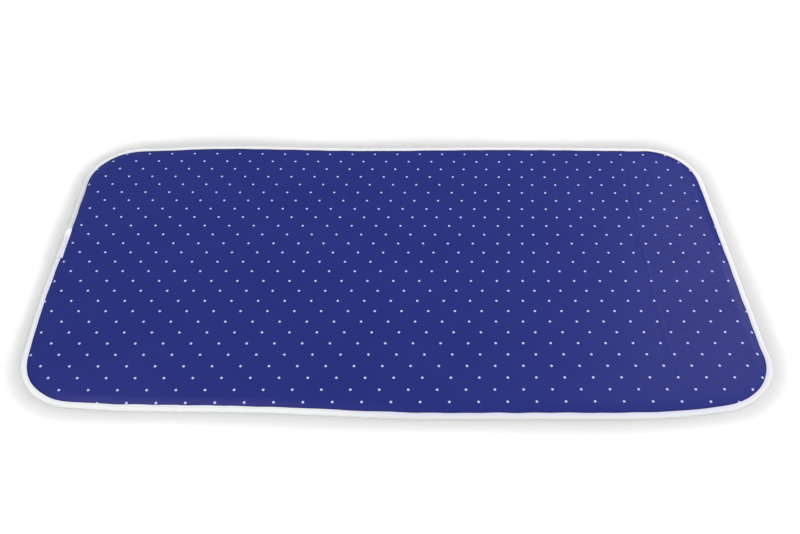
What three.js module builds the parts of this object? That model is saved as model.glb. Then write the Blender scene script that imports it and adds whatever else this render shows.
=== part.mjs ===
// Ironing pad: a padded mat of stacked layers, sewn together round its edge inside a folded binding tape.
// Millimetres, +Z up. The origin is the middle of the underside, on the table. +X runs along the length
// and +Y away from the person who irons.
import * as THREE from "three";

// The finished pad, measured over the binding
const LENGTH = 1300;
const WIDTH = 650;
const CORNER_RADIUS = 110;

// How the soft pad lies out of square: its near edge swells in the middle and leans to one side,
// and its left edge swells a little
const NEAR_BELLY = 16;
const NEAR_LEAN = 18;
const LEFT_BELLY = 4;

// Layers from the table up: thickness at full loft
const BACKING_T = 0.6;
const FELT_T = 3;
const FILM_T = 0.3;
const FOAM_T = 2;
const COVER_T = 0.5;

// The two layers that give way, pressed flat inside the binding
const FELT_PRESSED = 1.3;
const FOAM_PRESSED = 0.6;

// The padding swells from the binding to its full loft over this distance
const LOFT_RUN = 32;

// Binding tape: one strip folded over the edge, its raw edges turned in, so each leg is a double ply
const TAPE_T = 0.5;
const BINDING_FACE = 10;
const BINDING_UNDER = 11;
const NOSE_DEPTH = 1.6;

// Where the two ends of the tape lap, on the left edge: from the middle of that edge towards the far side
const LAP_START = 6;
const LAP_LENGTH = 72;
const LAP_T = 0.4;
const LAP_FACE = 1;
const LAP_STEP = 1;

// Lockstitch seam through everything
const THREAD_D = 0.4;
const STITCH_MARGIN = 2;
const STITCH_DENT_RUN = 2.5;

// Clearances
const LAYER_GAP = 0.05;
const TAPE_GAP = 0.1;
const CUT_EDGE_GAP = 0.1;
const FOLD_GAP = 0.5;
const THREAD_GAP = 0.05;

// How finely the round stretches are faceted
const CORNER_STEPS = 6;
const LONG_SIDE_STEPS = 6;
const SHORT_SIDE_STEPS = 3;
const NOSE_STEPS = 4;
const THREAD_SIDES = 6;
const LOFT_SHARES = [0, 0.15, 0.45, 1];
const UNDERSIDE_SHARE = 0.3;

// Distances inwards from the outermost edge
const CUT_EDGE = NOSE_DEPTH + CUT_EDGE_GAP;
const SEAM = BINDING_FACE - STITCH_MARGIN;
const DENT_START = SEAM - STITCH_DENT_RUN;
const LOFT_START = Math.max(BINDING_FACE + LAP_FACE, BINDING_UNDER) + FOLD_GAP;

// Heights of the seam: the stitches sink into both faces of the binding by a thread and its clearance
const DENT = THREAD_D + THREAD_GAP;
const PRESSED_STACK = BACKING_T + FELT_PRESSED + FILM_T + FOAM_PRESSED + COVER_T + 4 * LAYER_GAP;
const SEAM_BASE = TAPE_T + TAPE_GAP;
const RIM_HEIGHT = PRESSED_STACK + 2 * SEAM_BASE;
const STITCH_SQUEEZE = 1 - (2 * DENT) / (FELT_PRESSED + FOAM_PRESSED);

// Round the edge, one station after another, counter-clockwise from above. At an inset from the outermost
// edge a station's point is core + (CORNER_RADIUS - inset) * normal + shift.
function layShift(x, y) {
  const along = x / (LENGTH / 2);
  const across = y / (WIDTH / 2);
  const nearShare = Math.max(-across, 0) ** 2;
  const leftShare = Math.max(-along, 0) ** 2;
  const nearSwell = NEAR_BELLY * (1 / 3 - along ** 2) + NEAR_LEAN * (along - along ** 3);
  const leftSwell = LEFT_BELLY * (1 / 3 - across ** 2);
  return new THREE.Vector2(-leftShare * leftSwell, -nearShare * nearSwell);
}

function station(core, normal, lapped) {
  const edge = core.clone().addScaledVector(normal, CORNER_RADIUS);
  return { core, normal, shift: layShift(edge.x, edge.y), lapped };
}

// The straight run between two corners, without its ends, which belong to the corners
function sideStations(from, to, normal, steps, lapMarks) {
  const run = to.distanceTo(from);
  const even = Array.from({ length: steps - 1 }, (_, i) => ({ at: (run * (i + 1)) / steps, lapped: false }));
  const [first, last] = lapMarks.length ? [lapMarks[0].at, lapMarks.at(-1).at] : [run, run];
  const clear = even.filter(({ at }) => at < first - LAP_STEP || at > last + LAP_STEP);
  return [...clear, ...lapMarks]
    .sort((a, b) => a.at - b.at)
    .map(({ at, lapped }) => station(from.clone().lerp(to, at / run), normal, lapped));
}

function lapMarksFrom(farCornerToMiddle) {
  const near = farCornerToMiddle - LAP_START;
  const far = near - LAP_LENGTH;
  return [
    { at: far - LAP_STEP, lapped: false },
    { at: far, lapped: true },
    { at: near, lapped: true },
    { at: near + LAP_STEP, lapped: false },
  ];
}

function outlineStations() {
  const coreX = LENGTH / 2 - CORNER_RADIUS;
  const coreY = WIDTH / 2 - CORNER_RADIUS;
  const cores = [
    new THREE.Vector2(coreX, coreY),
    new THREE.Vector2(-coreX, coreY),
    new THREE.Vector2(-coreX, -coreY),
    new THREE.Vector2(coreX, -coreY),
  ];
  const sideSteps = [LONG_SIDE_STEPS, SHORT_SIDE_STEPS, LONG_SIDE_STEPS, SHORT_SIDE_STEPS];
  const lapMarks = [[], lapMarksFrom(coreY), [], []];
  return cores.flatMap((core, i) => {
    const corner = Array.from({ length: CORNER_STEPS + 1 }, (_, k) => {
      const turn = (Math.PI / 2) * (i + k / CORNER_STEPS);
      return station(core, new THREE.Vector2(Math.cos(turn), Math.sin(turn)), false);
    });
    const next = cores[(i + 1) % cores.length];
    const sideNormal = corner.at(-1).normal;
    return [...corner, ...sideStations(core, next, sideNormal, sideSteps[i], lapMarks[i])];
  });
}

const STATIONS = outlineStations();

function placed({ core, normal, shift }, inset, height) {
  const reach = CORNER_RADIUS - inset;
  return [core.x + normal.x * reach + shift.x, core.y + normal.y * reach + shift.y, height];
}

function geometryOf(points, triangles) {
  const geometry = new THREE.BufferGeometry();
  geometry.setAttribute("position", new THREE.Float32BufferAttribute(points.flat(), 3));
  geometry.setIndex(triangles.flat());
  geometry.computeVertexNormals();
  return geometry;
}

// Two triangles for each step from one ring of points to the next, both given by their first index.
// The faces look outwards where the first ring is the higher or outer one.
function ringWall(first, second, count) {
  return Array.from({ length: count }, (_, i) => {
    const j = (i + 1) % count;
    return [first + i, second + i, second + j, first + i, second + j, first + j];
  });
}

// A band: a closed section, given for each station as [inset, height] points that climb on the outer side,
// swept round the outline
function bandGeometry(sectionOf) {
  const sections = STATIONS.map((s) => sectionOf(s).map(([inset, height]) => placed(s, inset, height)));
  const sides = sections[0].length;
  const count = sections.length;
  const points = Array.from({ length: sides }, (_, k) => sections.map((section) => section[k])).flat();
  const triangles = Array.from({ length: sides }, (_, k) => {
    return ringWall(((k + 1) % sides) * count, k * count, count);
  }).flat();
  return geometryOf(points, triangles);
}

// A sheet: two faces of the same rings, closed by their middles and by the cut edge.
// Each ring is { inset, low, high }, from the cut edge inwards.
function sheetGeometry(rings) {
  const count = STATIONS.length;
  const face = (heightOf) => rings.flatMap((r) => STATIONS.map((s) => placed(s, r.inset, heightOf(r))));
  const middle = rings.at(-1);
  const lower = rings.length * count;
  const points = [
    ...face((r) => r.high),
    ...face((r) => r.low),
    [0, 0, middle.high],
    [0, 0, middle.low],
  ];
  const [topMiddle, bottomMiddle] = [2 * lower, 2 * lower + 1];
  const triangles = [ringWall(0, lower, count)];
  for (let k = 0; k + 1 < rings.length; k += 1) {
    triangles.push(ringWall((k + 1) * count, k * count, count));
    triangles.push(ringWall(lower + k * count, lower + (k + 1) * count, count));
  }
  const inner = (rings.length - 1) * count;
  for (let i = 0; i < count; i += 1) {
    const j = (i + 1) % count;
    triangles.push([topMiddle, inner + i, inner + j]);
    triangles.push([bottomMiddle, lower + inner + j, lower + inner + i]);
  }
  return geometryOf(points, triangles.flat());
}

// The stack of layers at one inset: how far it is swollen, how deep the stitches dent it, and its floor
function crossings() {
  const seam = [
    { inset: CUT_EDGE, dent: 0, loft: 0, floor: SEAM_BASE },
    { inset: DENT_START, dent: 0, loft: 0, floor: SEAM_BASE },
    { inset: SEAM, dent: 1, loft: 0, floor: SEAM_BASE + DENT },
  ];
  const foldFloor = SEAM_BASE + DENT / 2;
  const swell = LOFT_SHARES.map((share) => ({
    inset: LOFT_START + LOFT_RUN * share,
    dent: 0.5,
    loft: Math.sqrt(1 - (1 - share) ** 2),
    floor: foldFloor * (1 - THREE.MathUtils.smoothstep(share, 0, UNDERSIDE_SHARE)),
  }));
  return [...seam, ...swell];
}

function softThickness(full, pressed, { dent, loft }) {
  const seamThickness = pressed * (1 + (STITCH_SQUEEZE - 1) * dent);
  return seamThickness + (full - seamThickness) * loft;
}

// Each layer lies on the one before it
const LAYERS = [
  { name: "backing", thickness: () => BACKING_T },
  { name: "felt_layer", thickness: (c) => softThickness(FELT_T, FELT_PRESSED, c) },
  { name: "reflective_film", thickness: () => FILM_T },
  { name: "foam_layer", thickness: (c) => softThickness(FOAM_T, FOAM_PRESSED, c) },
  { name: "top_cover", thickness: () => COVER_T },
];

function layerGeometry(index) {
  const rings = crossings().map((crossing) => {
    const below = LAYERS.slice(0, index);
    const low = below.reduce((height, l) => height + l.thickness(crossing) + LAYER_GAP, crossing.floor);
    return { inset: crossing.inset, low, high: low + LAYERS[index].thickness(crossing) };
  });
  return sheetGeometry(rings);
}

// The folded tape in section, from the turned edge underneath, round the nose, to the one on the face, and
// back along its inside. Where the tape's ends lap, it is thicker on the face and the nose, and wider.
function noseArc(depth, low, high, outwards) {
  const middle = (low + high) / 2;
  return Array.from({ length: NOSE_STEPS + 1 }, (_, k) => {
    const turn = Math.PI * (outwards ? k / NOSE_STEPS : 1 - k / NOSE_STEPS);
    return [NOSE_DEPTH - depth * Math.sin(turn), middle - ((high - low) / 2) * Math.cos(turn)];
  });
}

function bindingSection({ lapped }) {
  const extra = lapped ? LAP_T : 0;
  const face = BINDING_FACE + (lapped ? LAP_FACE : 0);
  const top = RIM_HEIGHT + extra;
  const inside = RIM_HEIGHT - TAPE_T;
  return [
    [BINDING_UNDER, DENT / 2],
    [SEAM, DENT],
    [DENT_START, 0],
    ...noseArc(NOSE_DEPTH + extra, 0, top, true),
    [DENT_START, top],
    [SEAM, top - DENT],
    [face, top - DENT / 2],
    [face, inside - DENT / 2],
    [SEAM, inside - DENT],
    [DENT_START, inside],
    ...noseArc(NOSE_DEPTH - TAPE_T, TAPE_T, inside, false),
    [DENT_START, TAPE_T],
    [SEAM, TAPE_T + DENT],
    [BINDING_UNDER, TAPE_T + DENT / 2],
  ];
}

// A thread lying in the dent of its own face of the binding
function threadSection(middle) {
  return Array.from({ length: THREAD_SIDES }, (_, k) => {
    const turn = (2 * Math.PI * (k + 0.5)) / THREAD_SIDES;
    return [SEAM + (THREAD_D / 2) * Math.cos(turn), middle - (THREAD_D / 2) * Math.sin(turn)];
  });
}

function needleThreadSection({ lapped }) {
  const face = RIM_HEIGHT + (lapped ? LAP_T : 0) - DENT;
  return threadSection(face + THREAD_GAP + THREAD_D / 2);
}

function bobbinThreadSection() {
  return threadSection(DENT - THREAD_GAP - THREAD_D / 2);
}

const MATERIALS = {
  top_cover: { color: 0x2f3781, roughness: 0.85, metalness: 0 },
  foam_layer: { color: 0xe8e4d2, roughness: 0.95, metalness: 0 },
  reflective_film: { color: 0xc9ccd0, roughness: 0.35, metalness: 0.9 },
  felt_layer: { color: 0xdcd9d0, roughness: 1, metalness: 0 },
  backing: { color: 0xc4c6ca, roughness: 0.95, metalness: 0 },
  edge_binding: { color: 0xf0f1f6, roughness: 0.85, metalness: 0 },
  needle_thread: { color: 0xf6f6f8, roughness: 0.7, metalness: 0 },
  bobbin_thread: { color: 0xf6f6f8, roughness: 0.7, metalness: 0 },
};

function part(name, geometry) {
  const mesh = new THREE.Mesh(geometry, new THREE.MeshStandardMaterial(MATERIALS[name]));
  mesh.name = name;
  return mesh;
}

const pad = new THREE.Group();
pad.name = "ironing_pad";
LAYERS.forEach(({ name }, index) => pad.add(part(name, layerGeometry(index))));
pad.add(part("edge_binding", bandGeometry(bindingSection)));
pad.add(part("needle_thread", bandGeometry(needleThreadSection)));
pad.add(part("bobbin_thread", bandGeometry(bobbinThreadSection)));

export default pad;
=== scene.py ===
"""The ironing pad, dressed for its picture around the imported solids.

Metres, in the frame of the solids: the origin is the middle of the underside, +X runs along the length, +Y
away from the person who irons and +Z up. Every layer is first cut as a flat, true shape, and laid down at the
end: the lay moves all the pieces alike, so that they stay nested.
"""

import logging
import math
from dataclasses import dataclass, field
from enum import Enum

import bpy
import numpy as np
from mathutils import Matrix, Vector
from mathutils.geometry import delaunay_2d_cdt


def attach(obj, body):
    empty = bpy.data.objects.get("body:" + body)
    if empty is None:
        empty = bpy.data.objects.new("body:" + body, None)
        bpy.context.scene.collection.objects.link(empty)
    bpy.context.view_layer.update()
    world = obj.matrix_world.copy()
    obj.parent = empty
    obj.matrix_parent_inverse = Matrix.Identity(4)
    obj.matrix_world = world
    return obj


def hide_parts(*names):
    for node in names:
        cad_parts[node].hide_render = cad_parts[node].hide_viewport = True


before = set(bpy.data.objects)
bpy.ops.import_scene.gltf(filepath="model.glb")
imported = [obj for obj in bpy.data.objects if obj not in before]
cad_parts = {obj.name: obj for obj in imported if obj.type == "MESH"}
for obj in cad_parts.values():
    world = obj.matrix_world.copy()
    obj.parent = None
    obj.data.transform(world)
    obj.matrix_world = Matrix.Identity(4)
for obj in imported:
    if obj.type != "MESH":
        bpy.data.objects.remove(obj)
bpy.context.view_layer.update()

log = logging.getLogger("ironing_pad")

MM = 0.001
TURN = 2 * math.pi

# The colour sockets of Blender's Mix node, which share their names with others
MIX_FIRST, MIX_SECOND, MIX_RESULT = 6, 7, 2

Pair = tuple[float, float]
Place = tuple[float, float, float]
Colour = tuple[float, float, float]
Socket = bpy.types.NodeSocket
Value = Socket | float | Colour
Piece = bpy.types.Object
Material = bpy.types.Material


class Layer(Enum):
    """The layers of the pad from the table up; the values are the names of their solids."""

    BACKING = "backing"
    FELT = "felt_layer"
    FILM = "reflective_film"
    FOAM = "foam_layer"
    COVER = "top_cover"


class Face(Enum):
    """The two faces of the pad."""

    UP = "up"
    DOWN = "down"


def smooth_step(values: np.ndarray | float) -> np.ndarray:
    """Eases 0 to 1 with level ends, and holds outside."""
    share = np.clip(values, 0.0, 1.0)
    return share * share * (3 - 2 * share)


def bell(values: np.ndarray) -> np.ndarray:
    """A bell curve: 1 at 0, and next to nothing past 2 on either side."""
    return np.exp(-(values**2))


@dataclass(frozen=True)
class Bump:
    """A smooth bump along a line: where it is, how far it spreads and how high it is."""

    place: float
    spread: float
    height: float

    def at(self, values: np.ndarray) -> np.ndarray:
        """The bump's height at each value."""
        return self.height * bell((values - self.place) / self.spread)


@dataclass(frozen=True)
class Ripple:
    """An even wave along a line: how high and long it is, and where one of its crests is."""

    height: float
    length: float
    crest: float = 0.0

    def at(self, values: np.ndarray) -> np.ndarray:
        """The wave's height at each value."""
        return self.height * np.cos(TURN * (values - self.crest) / self.length)


@dataclass(frozen=True)
class Outline:
    """The pad's outline over its binding, cut true, and the lay that moves it out of true.

    The lay's bumps along the edges are placed by shares of the half length and half width, from -1 to 1.
    """

    length: float = 1.300
    width: float = 0.650
    corner_radius: float = 0.110
    near_belly: float = 0.016
    near_lean: float = 0.021
    near_push: float = 0.0035
    near_corners: Bump = Bump(place=0.84, spread=0.09, height=0.9)
    near_right_pull: float = 0.008
    near_right_power: int = 12
    near_ripple: Ripple = Ripple(height=0.0013, length=0.440)
    near_shift: float = 0.0035
    near_right_bulge: Bump = Bump(place=-0.83, spread=0.12, height=0.0045)
    right_belly: float = 0.0015
    left_belly: float = 0.004
    left_ripple: Ripple = Ripple(height=0.0018, length=0.340, crest=-0.080)
    far_pull: float = 0.0015
    far_ripple: Ripple = Ripple(height=0.0026, length=0.620, crest=-0.333)
    far_left_dip: Bump = Bump(place=-0.80, spread=0.12, height=0.004)
    far_right_bulge: Bump = Bump(place=0.93, spread=0.08, height=0.003)
    rim_lift: float = 0.0014
    rim_lift_reach: float = 0.055
    rim_wave: Pair = (0.470, 0.390)
    rim_wave_start: Pair = (0.6, 1.1)
    lap_lift: Bump = Bump(place=0.042, spread=0.060, height=0.0006)

    @property
    def core(self) -> Pair:
        """The corner arcs' centre in the far right quarter."""
        return self.length / 2 - self.corner_radius, self.width / 2 - self.corner_radius

    def perimeter(self, inset: float) -> float:
        """The way round the pad, this far in from its outermost edge."""
        core_x, core_y = self.core
        return 4 * (core_x + core_y) + TURN * (self.corner_radius - inset)

    def stations(self, way: np.ndarray, inset: float) -> tuple[np.ndarray, np.ndarray]:
        """Finds places round the edge, counter-clockwise from the middle of the left side.

        Args:
            way: Distances round the pad, measured this far in from its outermost edge.
            inset: Where the distances are measured.

        Returns:
            The centre that each place is set out from, and the outward direction there.
        """
        x, y = self.core
        corners = np.array([(-x, 0), (-x, -y), (x, -y), (x, y), (-x, y), (-x, 0)])
        straights = np.linalg.norm(np.diff(corners, axis=0), axis=1)
        runs = np.full(2 * len(straights) - 1, math.pi / 2 * (self.corner_radius - inset))
        runs[::2] = straights
        starts = np.concatenate([[0.0], np.cumsum(runs)])
        wrapped = np.mod(way, starts[-1])
        run = np.clip(np.searchsorted(starts, wrapped, side="right") - 1, 0, len(runs) - 1)
        share = (wrapped - starts[run]) / runs[run]
        side, on_arc = run // 2, run % 2
        first, last = corners[side + on_arc], corners[side + 1]
        angle = (2 + side + on_arc * share) * math.pi / 2
        return first + (last - first) * share[:, None], np.stack([np.cos(angle), np.sin(angle)], axis=1)

    def inset_of(self, points: np.ndarray) -> np.ndarray:
        """Measures how far in from the outermost edge each flat point lies.

        Args:
            points: Places on the true cut, one row each.

        Returns:
            The distances, below 0 outside.
        """
        beyond = np.abs(points[:, :2]) - np.array(self.core)
        outside = np.linalg.norm(np.maximum(beyond, 0.0), axis=1)
        return self.corner_radius - outside - np.minimum(beyond.max(axis=1), 0.0)

    def laid(self, points: np.ndarray) -> np.ndarray:
        """Lays true-cut points down as the soft pad lies: swollen, rippled and lifted a little along its rim.

        Args:
            points: Places on the true cut, one row each.

        Returns:
            The same places on the pad as it lies.
        """
        x, y = points[:, 0], points[:, 1]
        along, across = x / (self.length / 2), y / (self.width / 2)
        near, far, left, right = (np.maximum(side, 0.0) ** 2 for side in (-across, across, -along, along))
        swell = self.near_belly * (1 / 3 - along**2) + self.near_lean * (along - along**3)
        swell += self.near_push * (1 - self.near_corners.at(np.abs(along)))
        swell -= self.near_right_pull * np.maximum(along, 0.0) ** self.near_right_power
        swell += self.near_ripple.at(x)
        drawn = self.far_ripple.at(x) - self.far_pull
        drawn += self.far_right_bulge.at(along) - self.far_left_dip.at(along)
        wave_x, wave_y = (TURN * at / length + start
                          for at, length, start in zip((x, y), self.rim_wave, self.rim_wave_start))
        lift = self.rim_lift * (0.5 + 0.5 * np.sin(wave_x) * np.cos(wave_y)) + self.lap_lift.at(y) * (x < 0)
        moved = points.copy()
        moved[:, 0] += near * self.near_shift
        moved[:, 0] += right * (self.near_right_bulge.at(across) + (1 - across**2) * self.right_belly)
        moved[:, 0] -= left * (self.left_belly * (1 / 3 - across**2) + self.left_ripple.at(y))
        moved[:, 1] += far * drawn - near * swell
        moved[:, 2] += lift * bell(np.maximum(self.inset_of(points), 0.0) / self.rim_lift_reach)
        return moved


@dataclass(frozen=True)
class Stack:
    """The layers one upon another: their thickness in full, pressed in the binding and dented by the seam."""

    full: dict[Layer, float] = field(default_factory=lambda: {
        Layer.BACKING: 0.6 * MM, Layer.FELT: 3.0 * MM, Layer.FILM: 0.3 * MM,
        Layer.FOAM: 2.0 * MM, Layer.COVER: 0.5 * MM,
    })
    pressed: dict[Layer, float] = field(default_factory=lambda: {
        Layer.FELT: 1.3 * MM, Layer.FOAM: 0.6 * MM,
    })
    layer_gap: float = 0.05 * MM
    tape_thickness: float = 0.5 * MM
    tape_gap: float = 0.1 * MM
    seam: float = 8.0 * MM
    dent_start: float = 5.5 * MM
    dent_depth: float = 0.45 * MM
    dent_left: float = 0.5
    loft_start: float = 11.5 * MM
    loft_run: float = 15.0 * MM
    underside_share: float = 0.6

    @property
    def seam_floor(self) -> float:
        """The height of the backing inside the binding."""
        return self.tape_thickness + self.tape_gap

    @property
    def rim_height(self) -> float:
        """The height of the binding's face."""
        layers = sum(self.pressed.get(layer, self.full[layer]) for layer in Layer)
        return layers + (len(Layer) - 1) * self.layer_gap + 2 * self.seam_floor

    def dent(self, inset: np.ndarray) -> np.ndarray:
        """How far the seam dents the edge, from 0 to 1 at the stitches, and partly left inside them."""
        rise = smooth_step((inset - self.dent_start) / (self.seam - self.dent_start))
        return rise - self.dent_left * smooth_step((inset - self.seam) / (self.loft_start - self.seam))

    def heights(self, layer: Layer, inset: np.ndarray) -> tuple[np.ndarray, np.ndarray]:
        """Works out where a layer lies over the table.

        Args:
            layer: The layer.
            inset: Distances in from the outermost edge.

        Returns:
            The heights of the layer's underside and of its upper side there.
        """
        dent = self.dent(inset)
        share = np.clip((inset - self.loft_start) / self.loft_run, 0.0, 1.0)
        loft = np.sin(math.pi / 2 * share)
        squeeze = 1 - 2 * self.dent_depth / sum(self.pressed.values()) * dent
        low = (self.seam_floor + self.dent_depth * dent) * (1 - smooth_step(share / self.underside_share))
        for below in Layer:
            thickness = np.full_like(inset, self.full[below])
            if below in self.pressed:
                seamed = self.pressed[below] * squeeze
                thickness = seamed + (self.full[below] - seamed) * loft
            if below is layer:
                return low, low + thickness
            low = low + thickness + self.layer_gap
        raise ValueError(layer)


class NodeBench:
    """A node tree on the bench: short calls for the nodes that the finishes and the light are made of."""

    def __init__(self, tree: bpy.types.NodeTree, last: str) -> None:
        """Takes a tree up.

        Args:
            tree: The tree.
            last: The name of its node that gives the result.
        """
        self.nodes = tree.nodes
        self.links = tree.links
        self.last = tree.nodes[last]

    def put(self, socket: Socket, value: Value) -> None:
        """Links a socket to another, or sets its value.

        Args:
            socket: The socket.
            value: The other socket, or the value.
        """
        if isinstance(value, Socket):
            self.links.new(value, socket)
        elif isinstance(value, tuple) and socket.type == "RGBA":
            socket.default_value = (*value, 1.0)
        else:
            socket.default_value = value

    def add(self, kind: str, inputs: dict[str | int, Value], **settings: str) -> bpy.types.Node:
        """Adds a node.

        Args:
            kind: Blender's name for this kind of node, less its usual start.
            inputs: What goes into its sockets, by their names or numbers.
            settings: The node's own settings.

        Returns:
            The node.
        """
        node = self.nodes.new("ShaderNode" + kind)
        for name, setting in settings.items():
            setattr(node, name, setting)
        for name, value in inputs.items():
            self.put(node.inputs[name], value)
        return node

    def surface(self, **values: Value) -> None:
        """Sets the sockets of the last node.

        Args:
            values: What goes into them, by their names in lower case with underscores.
        """
        sockets = {socket.name.lower().replace(" ", "_"): socket for socket in self.last.inputs}
        for name, value in values.items():
            self.put(sockets[name], value)

    def split(self, vector: Socket) -> tuple[Socket, ...]:
        """The three parts of a vector."""
        return tuple(self.add("SeparateXYZ", {0: vector}).outputs)

    def place(self) -> tuple[Socket, ...]:
        """The surface point in the object's own coordinates: whole, then its x, y and z."""
        whole = self.add("TexCoord", {}).outputs["Object"]
        return whole, *self.split(whole)

    def on_map(self, name: str) -> tuple[Socket, ...]:
        """The surface point on one of the piece's own maps: whole, then along and across."""
        whole = self.add("UVMap", {}, uv_map=name).outputs["UV"]
        return whole, *self.split(whole)[:2]

    def math(self, operation: str, *terms: Socket | float) -> Socket:
        """One step of arithmetic."""
        return self.add("Math", dict(enumerate(terms)), operation=operation).outputs[0]

    def ramp(self, value: Socket, start: float, end: float, low: float = 0.0, high: float = 1.0) -> Socket:
        """Eases from low to high while the value goes from start to end."""
        inputs = {"Value": value, "From Min": start, "From Max": end, "To Min": low, "To Max": high}
        return self.add("MapRange", inputs, interpolation_type="SMOOTHSTEP").outputs["Result"]

    def noise(self, vector: Socket, scale: Place, detail: float = 3.0, turn: float = 0.0) -> Socket:
        """Makes cloudy noise.

        Args:
            vector: The surface point.
            scale: How fine the noise is along each axis.
            detail: How many finer clouds are added.
            turn: How far the noise is turned about Z.

        Returns:
            The noise, from 0 to 1.
        """
        mapped = self.add("Mapping", {"Vector": vector, "Scale": scale, "Rotation": (0.0, 0.0, turn)})
        inputs = {"Vector": mapped.outputs["Vector"], "Scale": 1.0, "Detail": detail}
        return self.add("TexNoise", inputs).outputs["Fac"]

    def fibres(self, vector: Socket, scale: Place, turns: Pair) -> Socket:
        """Fibres laid two ways, one over the other."""
        return self.math("MAXIMUM", *(self.noise(vector, scale, turn=turn) for turn in turns))

    def cells(self, vector: Socket, scale: float, feature: str = "F1") -> Socket:
        """The distance to the nearest cell point."""
        return self.add("TexVoronoi", {"Vector": vector, "Scale": scale}, feature=feature).outputs["Distance"]

    def mix(self, share: Socket, first: Socket | Colour, second: Socket | Colour) -> Socket:
        """A colour between two others."""
        inputs = {"Factor": share, MIX_FIRST: first, MIX_SECOND: second}
        return self.add("Mix", inputs, data_type="RGBA").outputs[MIX_RESULT]

    def bump(self, height: Socket, depth: float, under: Socket | None = None) -> Socket:
        """A relief of this depth, over another one if given."""
        below = {} if under is None else {"Normal": under}
        return self.add("Bump", {"Height": height, "Distance": depth, **below}).outputs["Normal"]

    def weave(self, along: Socket, across: Socket, pitch: float) -> Socket:
        """The ups and downs of a plain weave, from 0 to 1."""
        waves = (self.math("SINE", self.math("MULTIPLY", way, TURN / pitch)) for way in (along, across))
        return self.math("MULTIPLY_ADD", self.math("MULTIPLY", *waves), 0.5, 0.5)

    def apart(self, along: Socket, across: Socket) -> Socket:
        """How far apart two points are, by their distances along and across."""
        squares = (self.math("POWER", side, 2.0) for side in (along, across))
        return self.math("SQRT", self.math("ADD", *squares))

    def off_lattice(self, x: Socket, y: Socket, pitches: Pair, step: float, odd_step: float = 0.0) -> Socket:
        """Measures the distance to the nearest point of a lattice in staggered rows.

        Args:
            x: The place along the rows.
            y: The place across them.
            pitches: The distances from point to point in a row, and from row to row.
            step: How far each row is shifted from the one before, as a share of the pitch.
            odd_step: How much further every second row is shifted.

        Returns:
            The distance.
        """
        row_place = self.math("DIVIDE", y, pitches[1])
        row = self.math("FLOOR", row_place)
        odd_shift = self.math("MULTIPLY", self.math("FLOORED_MODULO", row, 2.0), odd_step)
        shift = self.math("MULTIPLY_ADD", row, step, odd_shift)
        point_place = self.math("SUBTRACT", self.math("DIVIDE", x, pitches[0]), shift)
        off = (self.math("SUBTRACT", self.math("FRACT", place), 0.5) for place in (point_place, row_place))
        return self.apart(*(self.math("MULTIPLY", share, pitch) for share, pitch in zip(off, pitches)))


class Finish:
    """What a surface is finished with: each kind lays out the nodes of a material of its own."""

    name: str

    def dress(self, bench: NodeBench) -> None:
        """Lays the nodes out."""
        raise NotImplementedError

    def material(self) -> Material:
        """Makes the material.

        Returns:
            The material, named after the finish.
        """
        material = bpy.data.materials.new(self.name)
        material.use_nodes = True
        self.dress(NodeBench(material.node_tree, "Principled BSDF"))
        return material


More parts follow.
